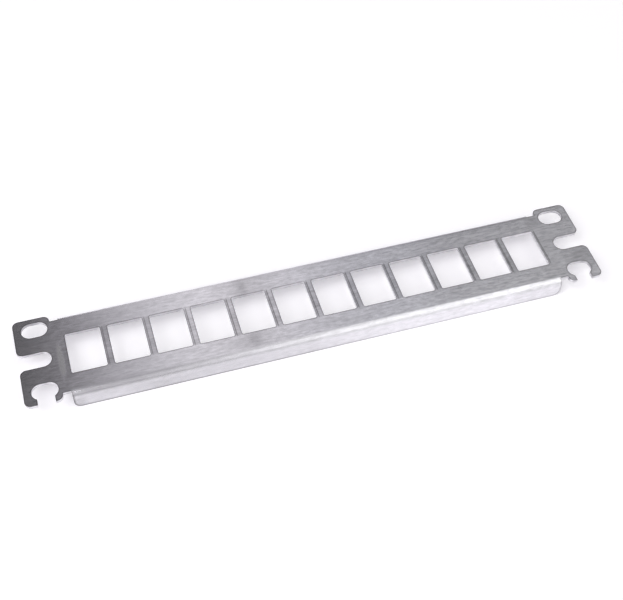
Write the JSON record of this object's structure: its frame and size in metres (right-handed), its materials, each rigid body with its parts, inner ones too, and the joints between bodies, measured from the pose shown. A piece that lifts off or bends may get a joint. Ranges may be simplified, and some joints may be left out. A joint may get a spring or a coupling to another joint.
{
  "type": "ethernet patch panel",
  "caption": "Short rack patch panel folded from brushed steel sheet: a row of open jack ports between folded flanges, with slotted and notched rack ears at the ends.",
  "frame": {"origin": "under the middle of the panel, on the surface that the free edges of the flanges rest on", "axes": "+X along the panel; +Y across it towards the closed slots, which is up when it hangs in a rack; +Z out of the front face"},
  "size_m": [0.254, 0.044, 0.009],
  "materials": {
    "sheet": "brushed along the panel, with bright bends and darker cut edges"
  },
  "bodies": {
    "root": {"panel_sheet": "sheet"}
  },
  "joints": []
}
